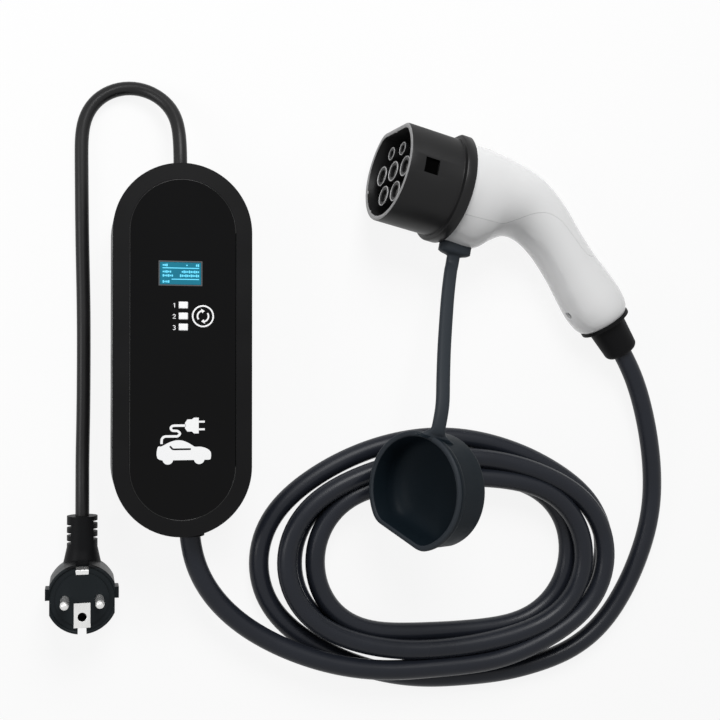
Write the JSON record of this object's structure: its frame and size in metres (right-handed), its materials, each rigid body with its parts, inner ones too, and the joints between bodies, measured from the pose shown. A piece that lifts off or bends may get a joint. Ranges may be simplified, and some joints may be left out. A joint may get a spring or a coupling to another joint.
{
  "type": "portable electric vehicle charger",
  "caption": "Portable electric vehicle charger: black control box, mains lead with an angled earthed plug, coiled cable and a white-handled connector with a tethered dust cap.",
  "frame": {"origin": "centre of the control box's back face, on the floor", "axes": "+X across the box towards the connector, +Y along the box towards the mains lead, +Z out of the front panel"},
  "size_m": [0.3922, 0.371, 0.095],
  "materials": {
    "case": "satin",
    "panel": "gloss",
    "display": "gloss",
    "lens": "satin",
    "rubber": "matte",
    "cap_rubber": "matte",
    "cable": "satin",
    "plug": "satin",
    "nickel": "gloss",
    "steel": "satin",
    "contact": "satin",
    "nose": "satin",
    "handle": "gloss",
    "board": "satin",
    "parts": "satin",
    "insert": "satin",
    "copper": "satin"
  },
  "bodies": {
    "root": {"rear_shell": "case", "front_shell": "case", "shell_gasket": "rubber", "shell_screws": "steel", "front_panel": "panel", "display_module": "display", "status_lenses": "lens", "status_leds": "lens", "key_sensor": "parts", "front_board": "board", "front_board_screws": "steel", "main_board": "board", "board_screws": "steel", "power_relays": "parts", "fault_coil": "parts", "supply_transformer": "parts", "storage_capacitors": "parts", "input_terminals": "board", "output_terminals": "board", "input_cores": "copper", "output_cores": "copper", "input_gland": "rubber", "output_gland": "rubber", "input_clamp": "parts", "output_clamp": "parts", "clamp_screws": "steel", "mains_cord": "rubber", "plug_body": "plug", "plug_earth_strip": "nickel", "plug_bridge": "insert", "plug_pins": "nickel", "cable_lead": "cable", "cable_coil": "cable", "gun_lead": "cable", "nose_sleeve": "nose", "contact_carrier": "nose", "power_contacts": "contact", "signal_contacts": "contact", "upper_cover": "handle", "lower_grip": "handle", "grip_screws": "steel", "cable_boot": "rubber", "cable_clamp": "parts", "gun_cores": "copper", "dust_cap": "cap_rubber"}
  },
  "joints": []
}
